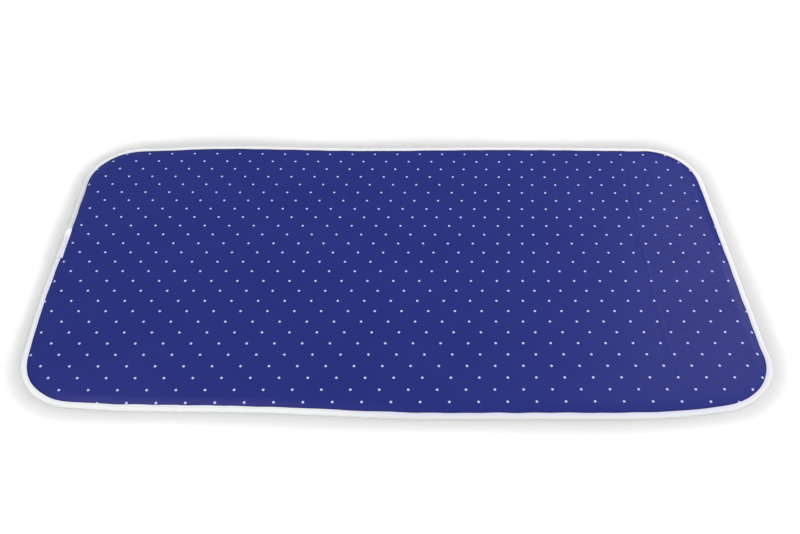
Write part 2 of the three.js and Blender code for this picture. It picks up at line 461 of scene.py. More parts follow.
@dataclass(frozen=True)
class DottedCotton(Finish):
    """Blue woven cotton printed with small white dots in staggered rows.

    Painted shade makes it darker where it is drawn down beside the tape, and its nap is rough along the far
    part of the right end. The map holds the distance in from the pad's edge.
    """

    name: str = "dotted_cotton"
    blue: Colour = (0.0060, 0.0161, 0.196)
    light_blue: Colour = (0.0103, 0.0209, 0.214)
    # Painted shade: the darker blue beside the tape
    groove_shade_blue: Colour = (0.0035, 0.0100, 0.120)
    groove_shade: Pair = (10.0 * MM, 13.5 * MM)
    nap: Pair = (34.0 * MM, 14.0 * MM)
    nap_end: Pair = (0.46, 0.60)
    nap_side: Pair = (-0.08, 0.10)
    dot_white: Colour = (0.61, 0.65, 0.98)
    dot_pitches: Pair = (48.6 * MM, 23.3 * MM)
    row_start: float = 8.0 * MM
    row_step: float = -0.45
    odd_row_step: float = 0.05
    dot_radius: float = 2.15 * MM
    dot_blur: float = 0.3 * MM
    yarn: float = 0.7 * MM
    yarn_relief: float = 0.03 * MM
    slubs_per_metre: Pair = (900.0, 30.0)
    slub_detail: float = 2.0
    slub_tone: float = 1.6
    slub_relief: float = 0.05 * MM
    clouds_per_metre: Place = (6.0, 9.0, 1.0)
    cloud_detail: float = 4.0
    tones: Pair = (0.2, 0.8)
    roughness: Pair = (0.43, 0.75)
    specular: float = 0.20
    sheen: float = 0.03
    sheen_roughness: float = 0.4
    sheen_tint: Colour = (1.0, 0.7, 1.0)
    edge_map: str = "edge"

    def dress(self, bench: NodeBench) -> None:
        """Lays the nodes out.

        Args:
            bench: The material's bench.
        """
        whole, x, y, _ = bench.place()
        fine, coarse = self.slubs_per_metre
        warp_slub = bench.noise(whole, (fine, coarse, 1.0), self.slub_detail)
        weft_slub = bench.noise(whole, (coarse, fine, 1.0), self.slub_detail)
        slub = bench.math("MULTIPLY", bench.math("ADD", warp_slub, weft_slub), 0.5)
        cloud = bench.noise(whole, self.clouds_per_metre, self.cloud_detail)
        tone = bench.math("MULTIPLY_ADD", bench.math("SUBTRACT", slub, 0.5), self.slub_tone, cloud)
        cloth = bench.mix(bench.ramp(tone, *self.tones), self.blue, self.light_blue)
        _, from_edge, _ = bench.on_map(self.edge_map)
        # Painted shade: darker blue in the first few millimetres beside the tape
        cloth = bench.mix(bench.ramp(from_edge, *self.groove_shade), self.groove_shade_blue, cloth)
        napped = bench.math("MULTIPLY", bench.ramp(from_edge, *self.nap), bench.ramp(x, *self.nap_end))
        napped = bench.math("MULTIPLY", napped, bench.ramp(y, *self.nap_side))
        rows_from = bench.math("SUBTRACT", y, self.row_start)
        off_dot = bench.off_lattice(x, rows_from, self.dot_pitches, self.row_step, self.odd_row_step)
        printed = bench.ramp(off_dot, self.dot_radius + self.dot_blur, self.dot_radius - self.dot_blur)
        slubs = bench.bump(slub, self.slub_relief)
        bench.surface(
            base_color=bench.mix(printed, cloth, self.dot_white),
            roughness=bench.ramp(napped, 0.0, 1.0, *self.roughness),
            specular_ior_level=self.specular,
            sheen_weight=self.sheen,
            sheen_roughness=self.sheen_roughness,
            sheen_tint=self.sheen_tint,
            normal=bench.bump(bench.weave(x, y, self.yarn), self.yarn_relief, slubs),
        )


@dataclass(frozen=True)
class FoldedTape(Finish):
    """White cotton tape cut on the bias, pricked by the seam and greyed in places.

    One map holds the way along the tape and the distance from the seam. The other holds the painted shade
    along the
    tape: 0 for white, 1 for shaded along the seam and greyer away from it, and 2 for deeper shade along the
    seam.
    """

    name: str = "folded_tape"
    white: Colour = (0.965, 0.965, 0.99)
    # Painted shade colours: bluish grey along the seam with a tint of light thrown back from the blue cover,
    # deeper grey by the lap, and greyer away from the seam
    shaded_white: Colour = (0.80, 0.81, 1.0)
    deep_shade_white: Colour = (0.62, 0.635, 0.75)
    outer_shade_white: Colour = (0.84, 0.84, 0.86)
    yarn: float = 0.6 * MM
    yarn_relief: float = 0.05 * MM
    slubs_per_metre: Place = (90.0, 420.0, 1.0)
    slub_tones: tuple[float, float, float, float] = (0.2, 0.6, 0.5, 1.0)
    seam_shade: float = 4.5 * MM
    stitch: float = 3.0 * MM
    hole_radius: float = 0.45 * MM
    hole_middle: float = 0.18 * MM
    # Painted shade inside the needle holes
    hole_shade: Colour = (0.40, 0.41, 0.47)
    dimple_radius: float = 1.3 * MM
    dimple_relief: float = 0.25 * MM
    roughness: float = 0.8
    specular: float = 0.3
    sheen: float = 0.1
    sheen_roughness: float = 0.5
    tape_map: str = "tape"
    wear_map: str = "wear"

    def dress(self, bench: NodeBench) -> None:
        """Lays the nodes out.

        Args:
            bench: The material's bench.
        """
        whole, along, from_seam = bench.on_map(self.tape_map)
        bias, other_bias = (bench.math(step, along, from_seam) for step in ("ADD", "SUBTRACT"))
        weave = bench.weave(bias, other_bias, self.yarn * math.sqrt(2))
        stitch_place = bench.math("FRACT", bench.math("DIVIDE", along, self.stitch))
        off_hole = bench.math("MULTIPLY", bench.math("PINGPONG", stitch_place, 0.5), self.stitch)
        distance = bench.apart(off_hole, from_seam)
        hole = bench.ramp(distance, self.hole_radius, self.hole_middle)
        dimples = bench.bump(bench.ramp(distance, 0.0, self.dimple_radius), self.dimple_relief)
        slub = bench.noise(whole, self.slubs_per_metre, turn=math.pi / 4)
        # Painted shade along the seam, fading out within a few millimetres of it
        unshaded = bench.ramp(bench.math("ABSOLUTE", from_seam), 0.0, self.seam_shade)
        tone = bench.math("MULTIPLY", bench.ramp(slub, *self.slub_tones), unshaded)
        # Painted shade and lighter stretches along the tape, read from its shade map
        _, wear, _ = bench.on_map(self.wear_map)
        shaded_share = bench.ramp(wear, 0.0, 1.0)
        shaded = bench.mix(shaded_share, self.white, self.shaded_white)
        shaded = bench.mix(bench.ramp(wear, 1.0, 2.0), shaded, self.deep_shade_white)
        away = bench.mix(shaded_share, self.white, self.outer_shade_white)
        bench.surface(
            # The needle holes are painted with shade
            base_color=bench.mix(hole, bench.mix(tone, shaded, away), self.hole_shade),
            roughness=self.roughness,
            specular_ior_level=self.specular,
            sheen_weight=self.sheen,
            sheen_roughness=self.sheen_roughness,
            normal=bench.bump(weave, self.yarn_relief, dimples),
        )


@dataclass(frozen=True)
class SewingThread(Finish):
    """White three-ply thread; its map holds the way along the thread and the share of a turn round it."""

    name: str = "sewing_thread"
    white: Colour = (0.86, 0.86, 0.90)
    # Painted shade in the hollows between the plies
    groove_shade: Colour = (0.62, 0.62, 0.68)
    ply_pitch: float = 1.1 * MM
    ply_edge: Pair = (-1.0, 0.2)
    ply_relief: float = 0.05 * MM
    roughness: float = 0.55
    sheen: float = 0.15
    thread_map: str = "thread"

    def dress(self, bench: NodeBench) -> None:
        """Lays the nodes out.

        Args:
            bench: The material's bench.
        """
        _, along, round_it = bench.on_map(self.thread_map)
        twist = bench.math("ADD", bench.math("DIVIDE", along, self.ply_pitch), round_it)
        raised = bench.ramp(bench.math("SINE", bench.math("MULTIPLY", twist, TURN)), *self.ply_edge)
        bench.surface(
            # Painted shade darkens the hollows between the plies
            base_color=bench.mix(raised, self.groove_shade, self.white),
            roughness=self.roughness,
            sheen_weight=self.sheen,
            normal=bench.bump(raised, self.ply_relief),
        )


@dataclass(frozen=True)
class OpenFoam(Finish):
    """Pale open-cell foam."""

    name: str = "open_foam"
    pale: Colour = (0.80, 0.76, 0.62)
    # Painted shade in the open cells
    pore_shade: Colour = (0.52, 0.48, 0.36)
    cells_per_metre: float = 900.0
    pore_edge: Pair = (0.2, 0.75)
    relief: float = 0.25 * MM
    roughness: float = 0.95

    def dress(self, bench: NodeBench) -> None:
        """Lays the nodes out.

        Args:
            bench: The material's bench.
        """
        whole, *_ = bench.place()
        wall_share = bench.ramp(bench.cells(whole, self.cells_per_metre), *self.pore_edge)
        bench.surface(
            # Painted shade darkens the open cells
            base_color=bench.mix(wall_share, self.pore_shade, self.pale),
            roughness=self.roughness,
            normal=bench.bump(wall_share, self.relief),
        )


@dataclass(frozen=True)
class MetallisedFilm(Finish):
    """Silver film, finely crinkled."""

    name: str = "metallised_film"
    silver: Colour = (0.62, 0.64, 0.67)
    dull_silver: Colour = (0.50, 0.52, 0.55)
    dulled: Pair = (0.3, 0.7)
    crinkles_per_metre: float = 70.0
    grains_per_metre: Place = (260.0, 260.0, 260.0)
    grain_detail: float = 4.0
    relief: float = 0.4 * MM
    grain_relief: float = 0.04 * MM
    metallic: float = 0.9
    roughness: tuple[float, float, float, float] = (0.2, 0.8, 0.28, 0.45)

    def dress(self, bench: NodeBench) -> None:
        """Lays the nodes out.

        Args:
            bench: The material's bench.
        """
        whole, *_ = bench.place()
        crinkle = bench.cells(whole, self.crinkles_per_metre, "SMOOTH_F1")
        grain = bench.noise(whole, self.grains_per_metre, self.grain_detail)
        bench.surface(
            base_color=bench.mix(bench.ramp(grain, *self.dulled), self.dull_silver, self.silver),
            metallic=self.metallic,
            roughness=bench.ramp(grain, *self.roughness),
            normal=bench.bump(crinkle, self.relief, bench.bump(grain, self.grain_relief)),
        )


@dataclass(frozen=True)
class NeedledFelt(Finish):
    """Off-white felt: short fibres every way, with needle marks."""

    name: str = "needled_felt"
    pale: Colour = (0.74, 0.71, 0.64)
    grey: Colour = (0.55, 0.53, 0.48)
    fibres_per_metre: Place = (1500.0, 120.0, 200.0)
    fibre_turns: Pair = (0.5, -0.9)
    fibre_tones: Pair = (0.3, 0.75)
    fibre_relief: float = 0.15 * MM
    needle_marks_per_metre: float = 260.0
    mark_edge: Pair = (0.05, 0.3)
    mark_relief: float = 0.3 * MM
    roughness: float = 0.97
    sheen: float = 0.2

    def dress(self, bench: NodeBench) -> None:
        """Lays the nodes out.

        Args:
            bench: The material's bench.
        """
        whole, *_ = bench.place()
        fibres = bench.fibres(whole, self.fibres_per_metre, self.fibre_turns)
        marks = bench.ramp(bench.cells(whole, self.needle_marks_per_metre), *self.mark_edge)
        bench.surface(
            base_color=bench.mix(bench.ramp(fibres, *self.fibre_tones), self.grey, self.pale),
            roughness=self.roughness,
            sheen_weight=self.sheen,
            normal=bench.bump(marks, self.mark_relief, bench.bump(fibres, self.fibre_relief)),
        )


@dataclass(frozen=True)
class SpunBonded(Finish):
    """Light grey non-woven: laid fibres, fused at small points in staggered rows."""

    name: str = "spun_bonded"
    grey: Colour = (0.56, 0.57, 0.60)
    fused_grey: Colour = (0.44, 0.45, 0.48)
    fibre_light: Colour = (0.66, 0.67, 0.70)
    fibres_per_metre: Place = (1400.0, 70.0, 1.0)
    fibre_turns: Pair = (0.4, 2.2)
    fibre_tones: Pair = (0.4, 0.75)
    fibre_height: float = 0.4
    point_pitches: Pair = (2.6 * MM, 1.3 * MM)
    row_step: float = -0.5
    point_radius: float = 0.55 * MM
    point_middle: float = 0.33 * MM
    relief: float = 0.16 * MM
    roughness: Pair = (0.92, 0.6)

    def dress(self, bench: NodeBench) -> None:
        """Lays the nodes out.

        Args:
            bench: The material's bench.
        """
        whole, x, y, _ = bench.place()
        off_point = bench.off_lattice(x, y, self.point_pitches, self.row_step)
        fused = bench.ramp(off_point, self.point_radius, self.point_middle)
        fibres = bench.fibres(whole, self.fibres_per_metre, self.fibre_turns)
        cloth = bench.mix(bench.ramp(fibres, *self.fibre_tones), self.grey, self.fibre_light)
        height = bench.math("SUBTRACT", bench.math("MULTIPLY", fibres, self.fibre_height), fused)
        bench.surface(
            base_color=bench.mix(fused, cloth, self.fused_grey),
            roughness=bench.ramp(fused, 0.0, 1.0, *self.roughness),
            normal=bench.bump(height, self.relief),
        )


@dataclass(frozen=True)
class FloorPaint(Finish):
    """Plain matt paint on the studio's floor."""

    name: str = "studio_floor"
    tone: Colour = (0.300, 0.300, 0.300)
    roughness: float = 0.9

    def dress(self, bench: NodeBench) -> None:
        """Lays the nodes out."""
        bench.surface(base_color=self.tone, roughness=self.roughness, specular_ior_level=0.0)


def mesh_piece(name: str, points: np.ndarray, faces: np.ndarray) -> Piece:
    """Makes a smooth-shaded mesh object at the origin.

    Args:
        name: The piece's name.
        points: Its places, one row each.
        faces: The faces' corners, one row each.

    Returns:
        The new object, linked to the scene.
    """
    mesh = bpy.data.meshes.new(name)
    mesh.from_pydata(points.tolist(), [], faces.tolist())
    mesh.shade_smooth()
    mesh.update()
    piece = bpy.data.objects.new(name, mesh)
    bpy.context.scene.collection.objects.link(piece)
    return piece


def wall(rows: int, sides: int, closed: bool) -> np.ndarray:
    """Joins rows of points, each of which goes round, into a wall of quads.

    Args:
        rows: How many rows there are.
        sides: How many points each row has.
        closed: Whether the last row joins the first.

    Returns:
        The quads' corners, one row each.
    """
    here = np.arange(sides)
    after = (here + 1) % sides
    first = np.arange(rows if closed else rows - 1)[:, None] * sides
    last = (first + sides) % (rows * sides)
    return np.stack([first + here, last + here, last + after, first + after], axis=2).reshape(-1, 4)


def places_of(piece: Piece) -> np.ndarray:
    """Reads a piece's places.

    Args:
        piece: The piece.

    Returns:
        The places, one row each.
    """
    places = np.zeros(len(piece.data.vertices) * 3)
    piece.data.vertices.foreach_get("co", places)
    return places.reshape(-1, 3)


def only_selected(piece: Piece) -> None:
    """Selects one piece alone, so that an operator acts on nothing else.

    Args:
        piece: The piece.
    """
    bpy.ops.object.select_all(action="DESELECT")
    piece.select_set(True)
    bpy.context.view_layer.objects.active = piece


def applied(piece: Piece, modifier: bpy.types.Modifier) -> None:
    """Applies a modifier to its piece."""
    only_selected(piece)
    bpy.ops.object.modifier_apply(modifier=modifier.name)


def sewn_map(piece: Piece, name: str, rows: np.ndarray) -> None:
    """Gives a piece a map of its own: two values for each corner of each face."""
    layer = piece.data.uv_layers.new(name=name)
    layer.data.foreach_set("uv", rows.astype(np.float32).ravel())


def joined(piece: Piece, node: str, material: Material) -> None:
    """Dresses a piece, and puts it in the place of its solid.

    Args:
        piece: The piece.
        node: The solid that it stands for, which is hidden.
        material: Its material.
    """
    piece.data.materials.append(material)
    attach(piece, "root")
    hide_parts(node)
    log.info("%s: %d faces", piece.name, len(piece.data.polygons))


@dataclass(frozen=True)
class CutMesh:
    """The flat mesh of a cut layer: its triangles look up, and the places round its border come first."""

    flat: np.ndarray
    faces: np.ndarray
    border: int

    def closed(self, name: str, lower: np.ndarray, upper: np.ndarray) -> Piece:
        """Closes two sides of this mesh into a sheet.

        Args:
            name: The sheet's name.
            lower: The places of its underside.
            upper: The places of its upper side, in the same order.

        Returns:
            The sheet.
        """
        count = len(lower)
        here = np.arange(self.border)
        after = (here + 1) % self.border
        rim = [[here, after, after + count], [here, after + count, here + count]]
        rim_faces = [np.stack(corners, axis=1) for corners in rim]
        faces = np.concatenate([self.faces[:, ::-1], self.faces + count, *rim_faces])
        return mesh_piece(name, np.concatenate([lower, upper]), faces)


@dataclass(frozen=True)
class FlatCut:
    """A layer cut flat and true: rings along its edge, and an even mesh inside, finer at the right end."""

    outline: Outline
    rings: tuple[float, ...]
    edge_step: float
    step: float
    fine_step: float
    fine_from: float = math.inf
    ring_clear: float = 0.75
    merged: float = 1e-7

    @property
    def size(self) -> Pair:
        """The length and width of the cut."""
        return self.outline.length - 2 * self.rings[0], self.outline.width - 2 * self.rings[0]

    @property
    def area(self) -> float:
        """The area of the cut, less what its round corners leave out."""
        square_corners = (4 - math.pi) * (self.outline.corner_radius - self.rings[0]) ** 2
        return self.size[0] * self.size[1] - square_corners

    def hexagons(self, step: float) -> np.ndarray:
        """Sets out even places all over the cut.

        Args:
            step: How far apart they are.

        Returns:
            The places inside the innermost ring, one row each.
        """
        row_step = step * math.sqrt(3) / 2
        most_rows, most_columns = int(self.outline.width / 2 / row_step), int(self.outline.length / 2 / step)
        rows = np.arange(-most_rows, most_rows + 1)
        columns = np.arange(-most_columns - 1, most_columns + 1)
        x = (columns[None, :] + 0.5 * (rows[:, None] % 2)) * step
        y = np.broadcast_to(rows[:, None] * row_step, x.shape)
        places = np.stack([x.ravel(), y.ravel()], axis=1)
        return places[self.outline.inset_of(places) > self.rings[-1] + self.ring_clear * step]

    def mesh(self) -> CutMesh:
        """Meshes the cut.

        Returns:
            The mesh.
        """
        round_it = self.outline.perimeter(0.0)
        count = int(round(round_it / self.edge_step))
        centre, outward = self.outline.stations(np.arange(count) * round_it / count, 0.0)
        edge = [centre + (self.outline.corner_radius - inset) * outward for inset in self.rings]
        coarse, fine = self.hexagons(self.step), self.hexagons(self.fine_step)
        inside = [coarse[coarse[:, 0] < self.fine_from], fine[fine[:, 0] >= self.fine_from]]
        points = [Vector(point) for point in np.concatenate([*edge, *inside])]
        flat, _, faces, *_ = delaunay_2d_cdt(points, [], [list(range(count))], 1, self.merged)
        return CutMesh(np.array([tuple(point) for point in flat]), np.array(faces), count)


@dataclass
class Cover:
    """The cotton face: sewn in at the seam, borne up by the foam, and slack towards the right end."""

    outline: Outline
    stack: Stack
    rings: tuple[float, ...] = tuple(MM * ring for ring in (1.7, 5.5, 8, 10, 11.5, 13, 15, 18, 22, 27, 33))
    edge_step: float = 4.5 * MM
    step: float = 8.0 * MM
    fine_step: float = 2.8 * MM
    fine_from: float = 0.43
    slack: float = 0.0016
    slack_run: Pair = (0.44, 0.60)
    slack_reach: Pair = (0.30, 0.18)
    crease: float = 0.478
    crease_bow: float = 0.14
    crease_middle: float = -0.14
    crease_fan: float = 0.10
    crease_height: float = 0.32 * MM
    crease_width: float = 2.6 * MM
    crease_reach: float = 0.24
    crease_fade: int = 6
    puckers: tuple[Pair, ...] = ((0.610, 0.150), (0.590, -0.070), (0.570, -0.110), (0.575, -0.225))
    pucker_reach: Pair = (0.030, 0.040)
    strokes: int = 16
    stroke_lean: Pair = (math.radians(5.0), math.radians(35.0))
    stroke_length: Pair = (12.0 * MM, 28.0 * MM)
    stroke_width: float = 3.4 * MM
    stroke_height: float = 0.75 * MM
    seam_ease: float = 4.0 * MM
    foam_grip: float = 0.25
    cloth_quality: int = 6
    cloth_mass: float = 0.05
    tension: float = 25.0
    shear: float = 25.0 / 3
    bending: float = 60.0
    frames: int = 20
    eased: int = 4
    most_rise: float = 0.5 * MM
    seed_height: float = 0.05 * MM
    seed: int = 11
    finish: DottedCotton = DottedCotton()

    @staticmethod
    def weigh(piece: Piece, name: str, weights: np.ndarray) -> None:
        """Gives a piece a group of weighted vertices.

        Args:
            piece: The piece.
            name: The group's name.
            weights: A weight for each vertex.
        """
        group = piece.vertex_groups.new(name=name)
        for number, weight in enumerate(weights.tolist()):
            group.add([number], weight, "REPLACE")

    def creased(self, places: np.ndarray) -> np.ndarray:
        """Raises two fold marks, which run across the pad where it was folded and part on the far side.

        Args:
            places: Flat places on the cover.

        Returns:
            How far each one is raised.
        """
        x, y = places[:, 0], places[:, 1]
        off = x - (self.crease + self.crease_bow * (y - self.crease_middle) ** 2)
        parted = self.crease_fan * np.maximum(y, 0.0)
        ridge = bell(off / self.crease_width)
        ridge += smooth_step(parted / self.crease_width - 1) * bell((off + parted) / self.crease_width)
        return self.crease_height * np.exp(-((y / self.crease_reach) ** self.crease_fade)) * ridge

    def puckered(self, places: np.ndarray, rng: np.random.Generator) -> np.ndarray:
        """Raises and sinks short, uneven strokes where the cloth is gathered at the right end.

        Args:
            places: Flat places on the cover.
            rng: Where the uneven values come from.

        Returns:
            How far each one is raised.
        """
        height = np.zeros(len(places))
        for spot in self.puckers:
            for _ in range(self.strokes):
                off = places[:, :2] - rng.normal(spot, self.pucker_reach)
                lean, length = rng.uniform(*self.stroke_lean), rng.uniform(*self.stroke_length)
                along = off @ (math.cos(lean), math.sin(lean)) / length
                across = off @ (-math.sin(lean), math.cos(lean)) / self.stroke_width
                height += self.stroke_height * rng.uniform(-1, 1) * np.exp(-(along**2) - across**2)
        return height

    def buckled(
        self, start: np.ndarray, faces: np.ndarray, slack: np.ndarray, free: np.ndarray
    ) -> np.ndarray:
        """Lets the slack end move as cloth that is cut too full, and eases what comes of it.

        Args:
            start: The places that it starts from.
            faces: Its triangles.
            slack: How much too full it is, from 0 to 1.
            free: How free of the seam it is, from 0 to 1.

        Returns:
            The places after it.
        """
        cloth = mesh_piece("cover_settling", start, faces)
        self.weigh(cloth, "held", 1 - (1 - self.foam_grip) * free)
        self.weigh(cloth, "tight", 1 - slack)
        modifier = cloth.modifiers.new("settling", "CLOTH")
        settings = modifier.settings
        settings.quality = self.cloth_quality
        settings.mass = self.cloth_mass
        settings.tension_stiffness = settings.compression_stiffness = self.tension
        settings.shear_stiffness = self.shear
        settings.bending_stiffness = self.bending
        settings.vertex_group_mass = "held"
        settings.vertex_group_shrink = "tight"
        settings.shrink_min = -self.slack
        settings.effector_weights.gravity = 0.0
        for number in range(1, self.frames + 1):
            bpy.context.scene.frame_set(number)
        applied(cloth, modifier)
        bpy.context.scene.frame_set(1)
        ease = cloth.modifiers.new("ease", "SMOOTH")
        ease.use_x = ease.use_y = False
        ease.iterations = self.eased
        applied(cloth, ease)
        places = places_of(cloth)
        bpy.data.objects.remove(cloth)
        return places

    def settled(self, lower: np.ndarray, faces: np.ndarray) -> np.ndarray:
        """Settles the slack end: sewn down along the seam, held by the foam, creased and puckered.

        Args:
            lower: The places of the cover's underside, drawn tight.
            faces: The cut's triangles.

        Returns:
            The places after settling.
        """
        rng = np.random.default_rng(self.seed)
        kept = np.flatnonzero(lower[:, 0] > self.fine_from)
        renumbered = np.full(len(lower), -1)
        renumbered[kept] = np.arange(len(kept))
        end_faces = renumbered[faces]
        end_faces = end_faces[(end_faces >= 0).all(axis=1)]
        tight = lower[kept]
        slack = smooth_step((tight[:, 0] - self.slack_run[0]) / (self.slack_run[1] - self.slack_run[0]))
        none, full = self.slack_reach
        slack *= smooth_step((np.abs(tight[:, 1]) - none) / (full - none))
        free = smooth_step((self.outline.inset_of(tight) - self.stack.loft_start) / self.seam_ease)
        free = free * smooth_step((tight[:, 0] - self.fine_from) / self.seam_ease - 1)
        start = tight.copy()
        start[:, 2] += self.seed_height * slack * free * rng.uniform(-1, 1, len(tight))
        rise = (self.buckled(start, end_faces, slack, free) - tight) * free[:, None]
        rise[:, 2] += free * (self.creased(tight) + self.puckered(tight, rng))
        rise[:, 2] = self.most_rise * np.tanh(rise[:, 2] / self.most_rise)
        settled = lower.copy()
        settled[kept] += rise
        return settled

    def build(self) -> tuple[CutMesh, np.ndarray]:
        """Makes the cover.

        Returns:
            The cover's flat mesh, and the places of its underside before the lay.
        """
        cut = FlatCut(self.outline, self.rings, self.edge_step, self.step, self.fine_step, self.fine_from)
        mesh = cut.mesh()
        inset = self.outline.inset_of(mesh.flat)
        low, high = self.stack.heights(Layer.COVER, inset)
        lower = np.column_stack([mesh.flat, low])
        lower = self.settled(lower, mesh.faces)
        upper = lower + np.column_stack([np.zeros_like(mesh.flat), high - low])
        piece = mesh.closed("cotton_cover", self.outline.laid(lower), self.outline.laid(upper))
        corners = np.zeros(len(piece.data.loops), dtype=np.int32)
        piece.data.loops.foreach_get("vertex_index", corners)
        from_edge = inset[corners % len(inset)]
        sewn_map(piece, self.finish.edge_map, np.column_stack([from_edge, np.zeros_like(from_edge)]))
        joined(piece, Layer.COVER.value, self.finish.material())
        return mesh, lower


@dataclass
class Padding:
    """The foam, film, felt and backing under the cover."""

    outline: Outline
    stack: Stack
    rings: tuple[float, ...] = tuple(MM * ring for ring in (1.7, 5.5, 8, 11.5, 14, 18, 24, 34))
    step: float = 13.0 * MM
    foam_fill: float = 0.8
    felt_fill: float = 0.9

    def foam(self, cover: CutMesh, underside: np.ndarray) -> None:
        """Makes the foam, which fills the cover's underside.

        Args:
            cover: The cover's flat mesh.
            underside: The places of the cover's underside before the lay.
        """
        low, _ = self.stack.heights(Layer.FOAM, self.outline.inset_of(underside))
        lower = np.column_stack([underside[:, :2], low])
        upper = underside - np.array([0.0, 0.0, self.stack.layer_gap])
        piece = cover.closed("foam_sheet", self.outline.laid(lower), self.outline.laid(upper))
        joined(piece, Layer.FOAM.value, OpenFoam().material())

    def sheet(self, name: str, layer: Layer, mesh: CutMesh, finish: Finish) -> Piece:
        """Makes one of the lower layers.

        Args:
            name: The piece's name.
            layer: Which layer it is.
            mesh: The layer's flat mesh.
            finish: Its finish.

        Returns:
            The piece.
        """
        heights = self.stack.heights(layer, self.outline.inset_of(mesh.flat))
        sides = (self.outline.laid(np.column_stack([mesh.flat, height])) for height in heights)
        piece = mesh.closed(name, *sides)
        joined(piece, layer.value, finish.material())
        return piece

    def build(self, cover: CutMesh, underside: np.ndarray) -> None:
        """Makes all the layers under the cover.

        Args:
            cover: The cover's flat mesh.
            underside: The places of the cover's underside before the lay.
        """
        self.foam(cover, underside)
        cut = FlatCut(self.outline, self.rings, self.step, self.step, self.step)
        mesh = cut.mesh()
        film = self.sheet("heat_film", Layer.FILM, mesh, MetallisedFilm())
        felt = self.sheet("felt_wadding", Layer.FELT, mesh, NeedledFelt())
        backing = self.sheet("non_woven_backing", Layer.BACKING, mesh, SpunBonded())


@dataclass(frozen=True)
class TapeSection:
    """The folded tape in section: its places, where they face, how far from the seam, and its flat width."""

    places: np.ndarray
    facing: np.ndarray
    from_seam: np.ndarray
    width: float


